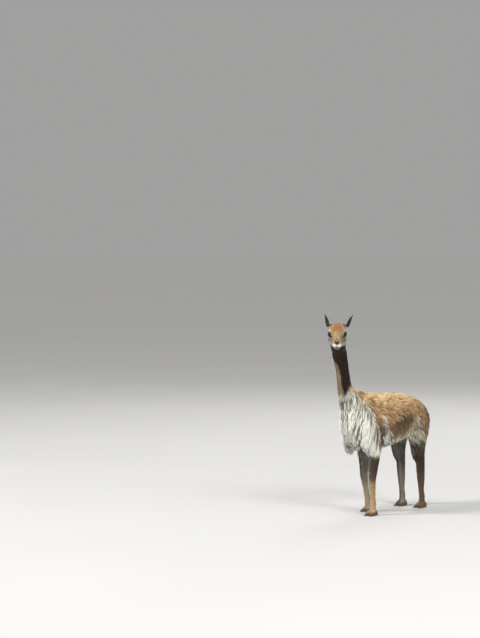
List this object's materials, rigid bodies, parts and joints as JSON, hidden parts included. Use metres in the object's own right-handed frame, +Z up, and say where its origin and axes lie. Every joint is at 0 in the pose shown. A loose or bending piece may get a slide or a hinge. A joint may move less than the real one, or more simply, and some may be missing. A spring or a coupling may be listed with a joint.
{
  "type": "vicuna figure",
  "caption": "Life-size still vicuna standing on four legs, long neck upright, head turned to its left, long locks on the chest.",
  "frame": {"origin": "on the floor below the middle of the animal's bounding box", "axes": "+Z up from the soles to the ear tips; the body faces -Y, its left side is +X"},
  "size_m": [0.3202, 1.2332, 1.3614],
  "materials": {
    "cinnamon_coat": "matte wool, cinnamon",
    "white_coat": "matte wool, white",
    "dark_coat": "matte wool, dark brown",
    "eye": "gloss, black brown",
    "nail": "satin, dark horn"
  },
  "bodies": {
    "root": {"head": "cinnamon_coat", "lower_jaw": "white_coat", "ear_left": "dark_coat", "ear_right": "dark_coat", "eye_left": "eye", "eye_right": "eye", "neck": "dark_coat", "bib": "white_coat", "chest": "cinnamon_coat", "barrel": "cinnamon_coat", "rump": "cinnamon_coat", "haunch_left": "cinnamon_coat", "haunch_right": "cinnamon_coat", "tail": "cinnamon_coat", "foreleg_left": "cinnamon_coat", "foreleg_right": "cinnamon_coat", "hindleg_left": "cinnamon_coat", "hindleg_right": "cinnamon_coat", "foot_front_left": "cinnamon_coat", "foot_front_right": "cinnamon_coat", "foot_hind_left": "cinnamon_coat", "foot_hind_right": "cinnamon_coat", "nail_front_left_a": "nail", "nail_front_left_b": "nail", "nail_front_right_a": "nail", "nail_front_right_b": "nail", "nail_hind_left_a": "nail", "nail_hind_left_b": "nail", "nail_hind_right_a": "nail", "nail_hind_right_b": "nail"}
  },
  "joints": []
}
